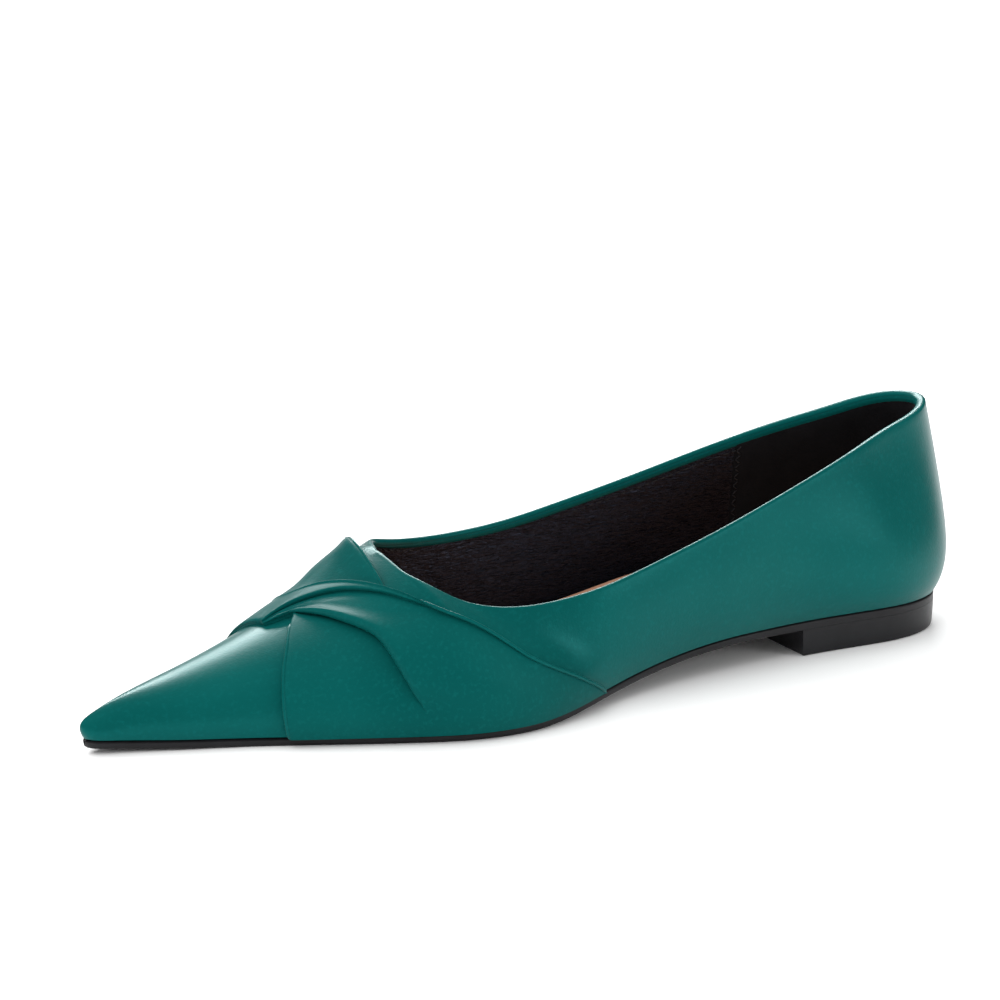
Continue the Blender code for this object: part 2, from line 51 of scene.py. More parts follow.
SOLE_LENGTH = 0.2520
BALL_WIDTH = 0.0755
SEAT_WIDTH = 0.0520
VAMP_HEIGHT = 0.0398
BACK_HEIGHT = 0.0600
SOLE_THICKNESS = 0.0022
HEEL_HEIGHT = 0.0076
HEEL_LENGTH = 0.0520
TOE_SPRING = 0.0017
TOE_SPRING_LENGTH = 0.0500
ARCH_START = 0.1030
ARCH_LENGTH = 0.0780
INSOLE_THICKNESS = 0.0030
WALL = 0.0018
COUNTER_WALL = 0.0027
COLLAR_ROLL = 0.0009
GAP = 0.0003
THROAT = 0.33
COUNTER_START = 0.78
COUNTER_END = 0.94
TOE_HOLLOW_START = 0.035
TOE_HOLLOW_NOSE = 0.0020
JOIN = 0.49
ROUNDING = 0.000001
MERGE = 0.00001

# Place of the last's axes in the frame.
SHIFT = np.array((-0.12880, 0.00447, 0.0))

# Girth of the wall from the sole's edge to the ridge at the throat.
WALL_GIRTH = 0.045

# Stitches: length, spacing and radius, and the swing of a zigzag.
COLLAR_STITCH = (0.0017, 0.0025, 0.00022, 0.0)
GRIP_STITCH = (0.0012, 0.0014, 0.00020, 0.0006)
COLLAR_STITCH_DEPTH = 0.0031
GRIP_THICKNESS = 0.00045

# station, along, lateral, medial
OUTLINE = (
    (0.000, 0.0010, 0.000, 0.000),
    (0.012, 0.0060, 0.029, 0.029),
    (0.035, 0.0260, 0.058, 0.056),
    (0.090, 0.0830, 0.131, 0.118),
    (0.160, 0.1550, 0.224, 0.201),
    (0.230, 0.2300, 0.347, 0.305),
    (0.300, 0.3020, 0.464, 0.397),
    (0.360, 0.3610, 0.540, 0.440),
    (0.420, 0.4210, 0.560, 0.424),
    (0.480, 0.4760, 0.529, 0.374),
    (0.550, 0.5440, 0.496, 0.332),
    (0.620, 0.6190, 0.510, 0.349),
    (0.700, 0.7060, 0.523, 0.412),
    (0.780, 0.7940, 0.492, 0.462),
    (0.850, 0.8730, 0.504, 0.504),
    (0.900, 0.9275, 0.498, 0.510),
    (0.940, 0.9695, 0.412, 0.420),
    (0.970, 0.9912, 0.260, 0.272),
    (1.000, 1.0000, -0.012, 0.012),
)

# station, along, side, height
RIDGE = (
    (0.000, 0.0135, 0.005, 0.266),
    (0.035, 0.0360, 0.008, 0.317),
    (0.090, 0.0890, 0.013, 0.400),
    (0.160, 0.1590, 0.021, 0.513),
    (0.230, 0.2320, 0.030, 0.658),
    (0.290, 0.2980, 0.040, 0.839),
    (0.330, 0.3385, 0.048, 1.000),
    (0.380, 0.3720, 0.052, 1.090),
    (0.440, 0.4000, 0.050, 1.130),
    (0.500, 0.4300, 0.045, 1.150),
    (0.560, 0.4600, 0.040, 1.160),
)

# around, lateral station, share, medial station, share
COLLAR_CUT = (
    (0.00, 0.330, 1.000, 0.330, 1.000),
    (0.04, 0.331, 0.825, 0.346, 0.830),
    (0.08, 0.338, 0.735, 0.370, 0.790),
    (0.13, 0.364, 0.632, 0.404, 0.850),
    (0.18, 0.410, 0.705, 0.442, 0.930),
    (0.21, 0.448, 0.880, 0.465, 0.980),
    (0.24, 0.491, 1.000, 0.491, 1.000),
)

# station, lateral along, side, height, medial along, side, height
TOPLINE = (
    (0.00, 0.3385, -0.048, 1.000, 0.3385, 0.048, 1.000),
    (0.05, 0.3415, 0.064, 0.936, 0.3460, 0.132, 0.928),
    (0.11, 0.3550, 0.185, 0.827, 0.3670, 0.204, 0.868),
    (0.18, 0.3795, 0.330, 0.700, 0.4030, 0.285, 0.777),
    (0.26, 0.4295, 0.370, 0.588, 0.4485, 0.332, 0.668),
    (0.36, 0.5040, 0.426, 0.546, 0.5160, 0.364, 0.597),
    (0.48, 0.5950, 0.492, 0.586, 0.6030, 0.431, 0.611),
    (0.60, 0.6905, 0.530, 0.685, 0.6945, 0.474, 0.687),
    (0.72, 0.7900, 0.462, 0.800, 0.7900, 0.448, 0.777),
    (0.83, 0.8770, 0.373, 0.903, 0.8770, 0.375, 0.867),
    (0.90, 0.9305, 0.281, 0.953, 0.9305, 0.281, 0.933),
    (0.96, 0.9835, 0.166, 0.988, 0.9835, 0.176, 0.988),
    (1.00, 1.0045, -0.012, 1.000, 1.0045, 0.012, 1.000),
)

# station, low, lean, high, drop
SWELL = (
    (0.000, 0.50, 60, 0.620, 0),
    (0.035, 0.42, 76, 0.560, 0),
    (0.090, 0.40, 76, 0.500, 0),
    (0.160, 0.40, 76, 0.480, 0),
    (0.230, 0.40, 78, 0.460, 0),
    (0.330, 0.36, 80, 0.390, 0),
    (0.380, 0.35, 80, 0.390, 6),
    (0.440, 0.34, 80, 0.360, 30),
    (0.520, 0.34, 78, 0.330, 58),
    (0.620, 0.34, 72, 0.320, 72),
    (0.740, 0.34, 64, 0.340, 78),
    (0.860, 0.33, 57, 0.380, 79),
    (0.940, 0.31, 57, 0.430, 78),
    (1.000, 0.30, 53, 0.430, 78),
)

# station, rise: how far the sock climbs the medial wall over the arch.
ARCH_LIFT = (
    (0.00, 0.0000),
    (0.44, 0.0000),
    (0.54, 0.0014),
    (0.62, 0.0024),
    (0.68, 0.0032),
    (0.74, 0.0030),
    (0.80, 0.0014),
    (0.86, 0.0000),
    (1.00, 0.0000),
)

# Over fold: from the lateral sole edge over the ridge to the medial sole edge. It holds the front
# wing, the S fold and the rear wing on the lateral side, and crosses to the medial front.
# row, front station, front across, rear station, rear across
OVER_EDGES = (
    (0.00, 0.192, -1.000, 0.530, -1.000),
    (0.07, 0.190, -0.880, 0.520, -0.915),
    (0.14, 0.190, -0.740, 0.503, -0.800),
    (0.22, 0.193, -0.600, 0.480, -0.660),
    (0.30, 0.199, -0.460, 0.447, -0.575),
    (0.37, 0.208, -0.330, 0.408, -0.560),
    (0.43, 0.218, -0.210, 0.370, -0.530),
    (0.48, 0.229, -0.110, 0.343, -0.475),
    (0.52, 0.236, -0.060, 0.325, -0.385),
    (0.56, 0.234, -0.040, 0.308, -0.270),
    (0.60, 0.228, -0.025, 0.292, -0.140),
    (0.64, 0.221, -0.010, 0.276, -0.015),
    (0.68, 0.216, 0.003, 0.262, 0.080),
    (0.72, 0.211, 0.023, 0.254, 0.150),
    (0.76, 0.211, 0.055, 0.252, 0.210),
    (0.80, 0.209, 0.120, 0.252, 0.280),
    (0.85, 0.206, 0.250, 0.254, 0.380),
    (0.91, 0.201, 0.510, 0.266, 0.560),
    (1.00, 0.195, 1.000, 0.315, 1.000),
)

# The over fold's cross-section along the same rows. Lip and seam are shares from the front edge to
# the rear edge, the rest are millimetres: height of the front wing, leather tucked under the lip,
# how far the lip stands over the wing, heights before the seam, step and height of the roll behind.
# row, wing, lip, tuck, rise, first, second, seam, step, roll
OVER_FOLD = (
    (0.00, 1.4, 0.385, 0.0, 0.0, 1.1, 1.0, 1.00, 0.0, 1.0),
    (0.08, 1.7, 0.367, 0.0, 0.0, 1.5, 1.3, 1.00, 0.0, 1.3),
    (0.14, 1.7, 0.355, 2.4, 1.7, 1.6, 1.4, 1.00, 0.0, 1.4),
    (0.22, 1.6, 0.346, 3.6, 3.0, 1.9, 1.6, 1.00, 0.0, 1.6),
    (0.30, 1.5, 0.350, 4.0, 3.2, 2.1, 1.9, 1.00, 0.0, 1.9),
    (0.37, 1.4, 0.340, 3.4, 2.9, 2.5, 2.2, 0.99, 0.2, 2.3),
    (0.43, 1.4, 0.300, 2.8, 2.5, 3.0, 2.5, 0.96, 0.6, 2.9),
    (0.48, 1.4, 0.185, 2.0, 1.9, 3.0, 2.8, 0.885, 1.0, 3.5),
    (0.52, 1.3, 0.030, 1.0, 1.2, 2.8, 2.8, 0.84, 1.2, 3.7),
    (0.56, 1.2, 0.000, 0.6, 0.9, 2.4, 2.5, 0.81, 1.3, 3.7),
    (0.60, 1.1, 0.000, 0.5, 0.8, 2.1, 2.3, 0.72, 1.3, 3.5),
    (0.64, 1.1, 0.000, 0.4, 0.7, 1.9, 2.0, 0.51, 1.2, 3.2),
    (0.68, 1.0, 0.000, 0.3, 0.5, 1.6, 1.8, 0.26, 1.0, 2.8),
    (0.72, 0.9, 0.000, 0.2, 0.3, 1.3, 1.4, 0.06, 0.7, 2.4),
    (0.76, 0.9, 0.000, 0.2, 0.2, 1.2, 1.2, 0.00, 0.5, 2.2),
    (0.80, 0.9, 0.000, 0.2, 0.2, 1.1, 1.1, 0.00, 0.5, 2.1),
    (0.85, 0.8, 0.000, 0.2, 0.2, 1.0, 1.0, 0.00, 0.4, 1.9),
    (0.91, 0.8, 0.000, 0.1, 0.2, 1.0, 1.0, 0.00, 0.3, 1.6),
    (1.00, 0.8, 0.000, 0.0, 0.1, 0.9, 0.9, 0.00, 0.1, 1.0),
)

# Under fold: comes out behind the over fold, rises to a peak at the throat and widens to the medial
# rear. Heights in millimetres: where it starts under the over fold, in its hollow, and at the rear.
# row, front station, front across, rear station, rear across, front, hollow, rear height
UNDER_FOLD = (
    (0.00, 0.285, -0.330, 0.307, -0.340, 0.6, 0.9, 1.2),
    (0.10, 0.272, -0.250, 0.311, -0.250, 0.8, 1.1, 2.3),
    (0.20, 0.260, -0.160, 0.314, -0.150, 1.0, 1.3, 3.4),
    (0.30, 0.250, -0.060, 0.318, -0.050, 1.1, 1.6, 4.5),
    (0.38, 0.245, 0.030, 0.322, 0.040, 1.3, 2.3, 5.0),
    (0.46, 0.243, 0.120, 0.326, 0.130, 1.5, 2.9, 4.4),
    (0.54, 0.243, 0.230, 0.335, 0.250, 1.6, 3.0, 3.0),
    (0.64, 0.246, 0.380, 0.365, 0.370, 1.5, 2.4, 1.8),
    (0.76, 0.254, 0.560, 0.420, 0.510, 1.0, 1.5, 1.3),
    (0.88, 0.270, 0.780, 0.485, 0.740, 0.8, 1.0, 1.1),
    (1.00, 0.290, 1.000, 0.520, 1.000, 0.7, 0.8, 0.8),
)


def ease(value):
    value = np.clip(value, 0.0, 1.0)
    return value * value * (3.0 - 2.0 * value)


def mix(first, second, share):
    return first + (second - first) * share


def unit(vectors):
    return vectors / np.linalg.norm(vectors, axis=-1, keepdims=True)


def length_along(path):
    """Length along a path at each of its points."""
    return np.concatenate(((0.0,), np.cumsum(np.linalg.norm(np.diff(path, axis=0), axis=1))))


def read_between(table, knots, places):
    """Rows of a table at places between its knots."""
    return np.column_stack([np.interp(places, knots, column) for column in table.T])


def smooth_curve(rows, closed=False):
    """Cubic spline through rows of (parameter, values...)."""
    rows = np.asarray(rows, float)
    knots = rows[:, 0]
    values = rows[:, 1:]
    count = len(knots)
    step = np.diff(knots)
    matrix = np.zeros((count, count))
    right = np.zeros((count, values.shape[1]))
    for i in range(1, count - 1):
        matrix[i, i - 1] = step[i - 1]
        matrix[i, i] = 2.0 * (step[i - 1] + step[i])
        matrix[i, i + 1] = step[i]
        slopes = (values[i + 1] - values[i]) / step[i] - (values[i] - values[i - 1]) / step[i - 1]
        right[i] = 3.0 * slopes
    if closed:
        matrix[0, 0] = 2.0 * step[0]
        matrix[0, 1] = step[0]
        matrix[0, count - 2] = step[-1]
        matrix[0, count - 1] = 2.0 * step[-1]
        right[0] = 3.0 * ((values[1] - values[0]) / step[0] - (values[-1] - values[-2]) / step[-1])
        matrix[-1, 0] = 1.0
        matrix[-1, -1] = -1.0
    else:
        matrix[0, 0] = 1.0
        matrix[-1, -1] = 1.0
    bend = np.linalg.solve(matrix, right)

    def read(places):
        places = np.atleast_1d(np.asarray(places, float))
        i = np.clip(np.searchsorted(knots, places) - 1, 0, count - 2)
        ahead = (places - knots[i])[:, None]
        width = step[i][:, None]
        slope = (values[i + 1] - values[i]) / width - width * (2.0 * bend[i] + bend[i + 1]) / 3.0
        third = (bend[i + 1] - bend[i]) / (3.0 * width)
        return values[i] + slope * ahead + bend[i] * ahead ** 2 + third * ahead ** 3

    return read


def width_at(along):
    """Sole width that the outline's shares refer to."""
    return mix(BALL_WIDTH, SEAT_WIDTH, ease((along - 0.45) / 0.25))


def wall_at(station):
    """Thickness of the wall, more at the counter."""
    share = (np.abs(station) - COUNTER_START) / (COUNTER_END - COUNTER_START)
    return mix(WALL, COUNTER_WALL, ease(share))


def sole_rise(x):
    toe = TOE_SPRING * np.clip(1.0 - x / TOE_SPRING_LENGTH, 0.0, None) ** 2
    return toe + HEEL_HEIGHT * ease((x - ARCH_START) / ARCH_LENGTH)


def outline_rows():
    lateral = []
    medial = []
    for station, along, outer, inner in OUTLINE:
        width = width_at(along)
        lateral.append((-station, along * SOLE_LENGTH, -outer * width))
        medial.append((station, along * SOLE_LENGTH, inner * width))
    return lateral[::-1] + medial[1:]


def topline_rows():
    lateral = []
    medial = []
    for row in TOPLINE:
        height = mix(VAMP_HEIGHT, BACK_HEIGHT, ease(row[0] / 0.5))
        lateral.append((-row[0], row[1] * SOLE_LENGTH, -row[2] * width_at(row[1]), row[3] * height))
        medial.append((row[0], row[4] * SOLE_LENGTH, row[5] * width_at(row[4]), row[6] * height))
    return lateral[::-1] + medial[1:]


outline = smooth_curve(outline_rows(), closed=True)
topline = smooth_curve(topline_rows(), closed=True)
ridge = smooth_curve([(r[0], r[1] * SOLE_LENGTH, r[2] * BALL_WIDTH, r[3] * VAMP_HEIGHT) for r in RIDGE])
swell = smooth_curve(SWELL)
collar_cut = smooth_curve(COLLAR_CUT)


def outline_normal(s):
    along = outline(np.clip(s + 0.001, -1.0, 1.0)) - outline(np.clip(s - 0.001, -1.0, 1.0))
    return unit(np.column_stack((-along[:, 1], along[:, 0], np.zeros(len(s)))))


def seat_height(x):
    return sole_rise(x) + SOLE_THICKNESS + GAP


def last(s, v):
    """Face of the last at signed station s and height share v from the sole to the top."""
    s = np.atleast_1d(np.asarray(s, float))
    v = np.atleast_1d(np.asarray(v, float))
    side = np.where(s < 0.0, -1.0, 1.0)
    station = np.abs(s)
    foot = outline(s)
    foot = np.column_stack((foot, seat_height(foot[:, 0])))
    out = outline_normal(s)
    up = np.array((0.0, 0.0, 1.0))
    around = side * np.clip((station - THROAT) / (1.0 - THROAT), 0.0, 1.0)
    collar = topline(around) + out * 0.5 * wall_at(station)[:, None] - up * 0.33 * WALL
    leave = ease((station - THROAT) / (JOIN - THROAT))[:, None]
    top = mix(ridge(np.minimum(station, JOIN)), collar, leave)
    low, lean, high, drop = swell(station).T
    lean = np.radians(lean)[:, None]
    drop = np.radians(drop)[:, None]
    chord = np.linalg.norm(top - foot, axis=1)[:, None]
    on_ridge = np.minimum(station, THROAT)
    forward = unit(ridge(on_ridge + 0.001) - ridge(np.maximum(on_ridge - 0.001, 0.0)))
    level = np.column_stack((np.zeros(len(s)), side, np.zeros(len(s))))
    fan = ease(station / 0.12)[:, None] * math.pi / 2.0
    over_vamp = -np.cos(fan) * forward + np.sin(fan) * level
    outward = unit(mix(over_vamp, out, leave))
    fall = outward * np.cos(drop) - up * np.sin(drop)
    start = foot + low[:, None] * chord * (out * np.cos(lean) + up * np.sin(lean))
    end = top + high[:, None] * chord * fall
    v = v[:, None]
    lower = foot * (1.0 - v) ** 3 + 3.0 * start * v * (1.0 - v) ** 2
    return lower + 3.0 * end * v * v * (1.0 - v) + top * v ** 3


def wall_place(s, v):
    """Place on the last for the upper's own grid, whose lines end at the ridge or the collar."""
    s = np.atleast_1d(np.asarray(s, float))
    v = np.atleast_1d(np.asarray(v, float))
    side = np.where(s < 0.0, -1.0, 1.0)
    station = np.abs(s)
    around = np.clip((station - THROAT) / (1.0 - THROAT), 0.0, 1.0)
    cut = collar_cut(np.minimum(around, COLLAR_CUT[-1][0]))
    target = np.where(side < 0.0, cut[:, 0], cut[:, 2])
    share = np.where(side < 0.0, cut[:, 1], cut[:, 3])
    in_cut = (station > THROAT) & (around < COLLAR_CUT[-1][0])
    target = np.where(in_cut, target, station)
    share = np.where(in_cut, share, 1.0)
    return side * mix(station, target, v), share * v


def last_normal(s, v):
    s = np.atleast_1d(np.asarray(s, float))
    v = np.clip(np.atleast_1d(np.asarray(v, float)), 0.0, 0.985)
    ahead = last(np.minimum(s + 0.0015, 1.0), v)
    behind = last(np.maximum(s - 0.0015, -1.0), v)
    above = last(s, np.minimum(v + 0.01, 1.0))
    below = last(s, np.maximum(v - 0.01, 0.0))
    return unit(np.cross(above - below, ahead - behind))


def stations_between(table):
    places = [table[0][0]]
    for first, final, steps in table:
        places.extend(mix(first, final, i / steps) for i in range(1, steps + 1))
    return places


HALF = stations_between((
    (0.00, 0.03, 8), (0.03, 0.12, 12), (0.12, 0.30, 20), (0.30, THROAT, 5),
    (THROAT, 0.40, 16), (0.40, 0.88, 44), (0.88, 1.00, 22),
))
LOOP = np.array([-place for place in HALF[:0:-1]] + HALF[:-1])


def link_new(name, data):
    item = bpy.data.objects.new(name, data)
    bpy.context.scene.collection.objects.link(item)
    return item


def make_mesh(name, points, faces, sharp):
    """Mesh object in the frame's place, with outward normals and edges over sharp degrees kept hard."""
    work = bmesh.new()
    verts = [work.verts.new(Vector(point)) for point in np.asarray(points) + SHIFT]
    for face in faces:
        work.faces.new([verts[i] for i in face])
    bmesh.ops.remove_doubles(work, verts=work.verts, dist=MERGE)
    bmesh.ops.dissolve_degenerate(work, edges=work.edges, dist=MERGE)
    bmesh.ops.recalc_face_normals(work, faces=work.faces)
    mesh = bpy.data.meshes.new(name)
    work.to_mesh(mesh)
    work.free()
    mesh.shade_smooth()
    mesh.set_sharp_from_angle(angle=math.radians(sharp))
    return link_new(name, mesh)


def grid_faces(rows, columns, wrap_rows=False, wrap_columns=False, offset=0):
    """Four-sided faces of a grid of points, row by row."""
    faces = []
    for i in range(rows if wrap_rows else rows - 1):
        for j in range(columns if wrap_columns else columns - 1):
            a = offset + i * columns + j
            b = offset + i * columns + (j + 1) % columns
            c = offset + ((i + 1) % rows) * columns + (j + 1) % columns
            d = offset + ((i + 1) % rows) * columns + j
            faces.append((a, b, c, d))
    return faces


def ring_piece(name, rings, sharp):
    """Closed mesh through rings of equal size, with a flat cap at both ends."""
    rings = np.asarray(rings, float)
    count, size = rings.shape[:2]
    faces = grid_faces(count, size, wrap_columns=True)
    faces.append(tuple(range(size)))
    faces.append(tuple(range(count * size - 1, (count - 1) * size - 1, -1)))
    return make_mesh(name, rings.reshape(-1, 3), faces, sharp)


def finish_piece(item, material):
    """Material and body of a finished piece."""
    item.data.materials.append(material)
    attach(item, "root")
    return item


# Materials.

class Nodes:
    """Short helper to build one material's nodes."""

    def __init__(self, name):
        self.material = bpy.data.materials.new(name)
        self.material.use_nodes = True
        self.tree = self.material.node_tree
        self.shader = self.tree.nodes["Principled BSDF"]
        self.coords = self.add("ShaderNodeTexCoord").outputs["Object"]

    def add(self, kind, **settings):
        node = self.tree.nodes.new(kind)
        for key, value in settings.items():
            setattr(node, key, value)
        return node

    def link(self, source, target):
        self.tree.links.new(source, target)

    def feed(self, source, socket):
        self.link(source, self.shader.inputs[socket])

    def stretched(self, scale):
        node = self.add("ShaderNodeMapping")
        node.inputs["Scale"].default_value = scale
        self.link(self.coords, node.inputs["Vector"])
        return node.outputs["Vector"]

    def noise(self, scale, detail=3.0, rough=0.5, vector=None):
        node = self.add("ShaderNodeTexNoise")
        node.inputs["Scale"].default_value = scale
        node.inputs["Detail"].default_value = detail
        node.inputs["Roughness"].default_value = rough
        self.link(vector if vector else self.coords, node.inputs["Vector"])
        return node.outputs["Fac"]

    def cells(self, scale, feature="F1", vector=None):
        node = self.add("ShaderNodeTexVoronoi", feature=feature)
        node.inputs["Scale"].default_value = scale
        self.link(vector if vector else self.coords, node.inputs["Vector"])
        return node.outputs["Distance"]

    def spread(self, value, low, high, to_low=0.0, to_high=1.0):
        node = self.add("ShaderNodeMapRange")
        node.inputs["From Min"].default_value = low
        node.inputs["From Max"].default_value = high
        node.inputs["To Min"].default_value = to_low
        node.inputs["To Max"].default_value = to_high
        self.link(value, node.inputs["Value"])
        return node.outputs["Result"]

    def colour(self, factor, first, second):
        node = self.add("ShaderNodeMix", data_type="RGBA")
        node.inputs["A"].default_value = (*first, 1.0)
        node.inputs["B"].default_value = (*second, 1.0)
        self.link(factor, node.inputs["Factor"])
        return node.outputs["Result"]

    def bump(self, height, strength, distance, below=None):
        node = self.add("ShaderNodeBump")
        node.inputs["Strength"].default_value = strength
        node.inputs["Distance"].default_value = distance
        self.link(height, node.inputs["Height"])
        if below:
            self.link(below, node.inputs["Normal"])
        return node.outputs["Normal"]

    def set(self, **values):
        for key, value in values.items():
            self.shader.inputs[key.replace("_", " ")].default_value = value


def teal_leather(name, low, high, bend):
    m = Nodes(name)
    cloud = m.noise(28.0, 2.0)
    fine = m.noise(900.0, 2.0)
    base = m.colour(m.spread(cloud, 0.3, 0.7), (0.0012, 0.064, 0.0600), (0.0018, 0.078, 0.0725))
    fleck = m.add("ShaderNodeMix", data_type="RGBA")
    fleck.inputs["B"].default_value = (0.0035, 0.105, 0.098, 1.0)
    m.link(base, fleck.inputs["A"])
    m.link(m.spread(fine, 0.52, 0.78, 0.0, 0.45), fleck.inputs["Factor"])
    m.feed(fleck.outputs["Result"], "Base Color")
    m.feed(m.spread(cloud, 0.25, 0.75, low, high), "Roughness")
    pores = m.cells(1500.0)
    normal = m.bump(pores, 0.16, 0.00012)
    normal = m.bump(m.noise(2600.0, 2.0), 0.22, 0.00008, normal)
    normal = m.bump(m.noise(120.0, 2.0), 0.10, 0.0006, normal)
    m.feed(normal, "Normal")
    m.set(IOR=bend, Specular_Tint=(0.10, 0.85, 0.85, 1.0))
    return m.material


def black_lining(name):
    m = Nodes(name)
    flow = m.stretched((0.30, 1.0, 1.4))
    wrinkle = m.cells(900.0, "DISTANCE_TO_EDGE", flow)
    fine = m.noise(1700.0, 3.0, 0.6, flow)
    base = m.colour(m.spread(fine, 0.35, 0.7), (0.0022, 0.0022, 0.0032), (0.0055, 0.0052, 0.0070))
    m.feed(base, "Base Color")
    m.feed(m.spread(fine, 0.3, 0.7, 0.26, 0.40), "Roughness")
    normal = m.bump(m.spread(wrinkle, 0.0, 0.20), 0.8, 0.00022)
    normal = m.bump(m.noise(650.0, 4.0, 0.6, flow), 1.0, 0.0010, normal)
    normal = m.bump(fine, 0.35, 0.00014, normal)
    m.feed(normal, "Normal")
    m.set(IOR=1.9, Specular_Tint=(0.40, 0.46, 0.66, 1.0))
    return m.material


def black_suede(name):
    m = Nodes(name)
    fuzz = m.noise(3200.0, 4.0, 0.7)
    cloud = m.noise(160.0, 3.0)
    base = m.colour(m.spread(cloud, 0.3, 0.7), (0.0030, 0.0030, 0.0042), (0.0056, 0.0054, 0.0070))
    m.feed(base, "Base Color")
    m.feed(m.bump(fuzz, 0.5, 0.00015), "Normal")
    m.set(Roughness=0.9, IOR=1.3, Sheen_Weight=0.06, Sheen_Roughness=0.5)
    return m.material


def black_rubber(name, roughness=0.42):
    m = Nodes(name)
    cloud = m.noise(90.0, 3.0)
    fine = m.noise(2400.0, 3.0, 0.6)
    base = m.colour(m.spread(cloud, 0.3, 0.7), (0.0060, 0.0060, 0.0072), (0.0100, 0.0100, 0.0120))
    m.feed(base, "Base Color")
    m.feed(m.spread(fine, 0.3, 0.7, roughness - 0.05, roughness + 0.07), "Roughness")
    normal = m.bump(fine, 0.25, 0.00010)
    m.feed(m.bump(cloud, 0.15, 0.0004, normal), "Normal")
    m.set(IOR=1.33)
    return m.material


def tan_leather(name):
    m = Nodes(name)
    cloud = m.noise(60.0, 3.0)
    pores = m.cells(1900.0)
    base = m.colour(m.spread(cloud, 0.3, 0.7), (0.40, 0.205, 0.128), (0.48, 0.262, 0.172))
    m.feed(base, "Base Color")
    m.feed(m.spread(cloud, 0.3, 0.7, 0.50, 0.60), "Roughness")
    normal = m.bump(pores, 0.25, 0.00012)
    m.feed(m.bump(m.noise(700.0, 3.0), 0.2, 0.00012, normal), "Normal")
    return m.material


def dark_thread(name, colour):
    m = Nodes(name)
    ply = m.noise(5200.0, 2.0)
    base = m.colour(m.spread(ply, 0.3, 0.7), colour, tuple(c * 1.6 for c in colour))
    m.feed(base, "Base Color")
    m.feed(m.bump(ply, 0.4, 0.0001), "Normal")
    m.set(Roughness=0.55)
    return m.material


teal = teal_leather("teal_leather", 0.29, 0.35, 1.33)
teal_band = teal_leather("teal_band_leather", 0.42, 0.48, 1.22)
lining_black = black_lining("lining_leather")
suede = black_suede("grip_suede")
rubber = black_rubber("sole_rubber")
heel_rubber = black_rubber("heel_rubber", 0.36)
tan = tan_leather("insole_leather")
thread = dark_thread("lining_thread", (0.016, 0.016, 0.018))


# Upper.

OUTER_V = np.linspace(0.0, 1.0, 41)
INNER_V = np.linspace(1.0, 0.0, 27)

RIM = np.array([s for s in LOOP if abs(s) >= THROAT - ROUNDING])
RIM_SPLIT = int(np.sum(RIM < 0.0))
RIM_STEPS = np.linspace(0.0, math.pi, 11)[1:-1]

# Easing of the rim: how it sets in behind the throat and where it ends, in stations, and the height
# from which the wall follows it. A pass forward and a stronger one back keep the rim's size.
EASE_IN = 0.012
EASE_END = 0.66
EASE_OUT = 0.14
EASE_LOW = 0.45
PASSES = (0.5, -0.515) * 80
MEDIAL_PASSES = 30
TILT_PASSES = 24


def beside(rows):
    """Middle of each row's two neighbours along the closed rim."""
    return 0.5 * (np.roll(rows, 1, axis=0) + np.roll(rows, -1, axis=0))


def rim_easing():
    """Small moves and turns that let the collar's edge run smoothly past the corners of the throat."""
    places = wall_place(RIM, np.ones(len(RIM)))
    edge = np.delete(last(*places), RIM_SPLIT, axis=0)
    normal = last_normal(*places)
    level = np.delete(normal, RIM_SPLIT, axis=0)
    for smoothing in range(TILT_PASSES):
        level = unit(0.5 * beside(level) + 0.5 * level)
    tilt = np.insert(level, RIM_SPLIT, level[RIM_SPLIT - 1], axis=0) - normal
    smooth = edge.copy()
    for share in PASSES:
        smooth = mix(smooth, beside(smooth), share)
    medial = np.delete(RIM > 0.0, RIM_SPLIT)[:, None]
    for smoothing in range(MEDIAL_PASSES):
        smooth = np.where(medial, mix(smooth, beside(smooth), 0.5), smooth)
    move = np.insert(smooth - edge, RIM_SPLIT, 0.0, axis=0)
    station = np.abs(RIM)
    weight = (ease((station - THROAT) / EASE_IN) * ease((EASE_END - station) / EASE_OUT))[:, None]
    return move * weight, tilt * weight


RIM_MOVE, RIM_TILT = rim_easing()


def outer_columns(stations, v):
    """Outer face of the upper and its normals, one column for each station."""
    grid_s, grid_v = np.meshgrid(stations, v, indexing="ij")
    places = wall_place(grid_s.ravel(), grid_v.ravel())
    face = last(*places).reshape(len(stations), len(v), 3)
    normal = last_normal(*places).reshape(len(stations), len(v), 3)
    weight = ease((v - EASE_LOW) / (1.0 - EASE_LOW))[None, :, None]
    face = face + read_between(RIM_MOVE, RIM, stations)[:, None, :] * weight
    return face, unit(normal + read_between(RIM_TILT, RIM, stations)[:, None, :] * weight)


def inner_columns(stations, v, depth):
    """Columns at a share of the wall's thickness inward; the toe end closes with a round nose."""
    def plain(group):
        face, normal = outer_columns(group, v)
        thickness = wall_at(group)[:, None, None] * depth
        inside = face - normal * thickness
        mirrored, mirrored_normal = outer_columns(-group, v)
        other = mirrored - mirrored_normal * thickness
        in_vamp = np.abs(group) <= THROAT
        inside[in_vamp, v == 1.0] = 0.5 * (inside[in_vamp, v == 1.0] + other[in_vamp, v == 1.0])
        return inside

    columns = plain(stations)
    left = plain(np.array((-TOE_HOLLOW_START,)))[0]
    right = plain(np.array((TOE_HOLLOW_START,)))[0]
    nose = np.array((-TOE_HOLLOW_NOSE, 0.0, 0.0))
    for i, station in enumerate(stations):
        if abs(station) < TOE_HOLLOW_START:
            turn = station / TOE_HOLLOW_START * math.pi / 2.0
            middle = (left + right) / 2.0
            columns[i] = middle + (right - left) / 2.0 * math.sin(turn) + nose * math.cos(turn)
    return columns


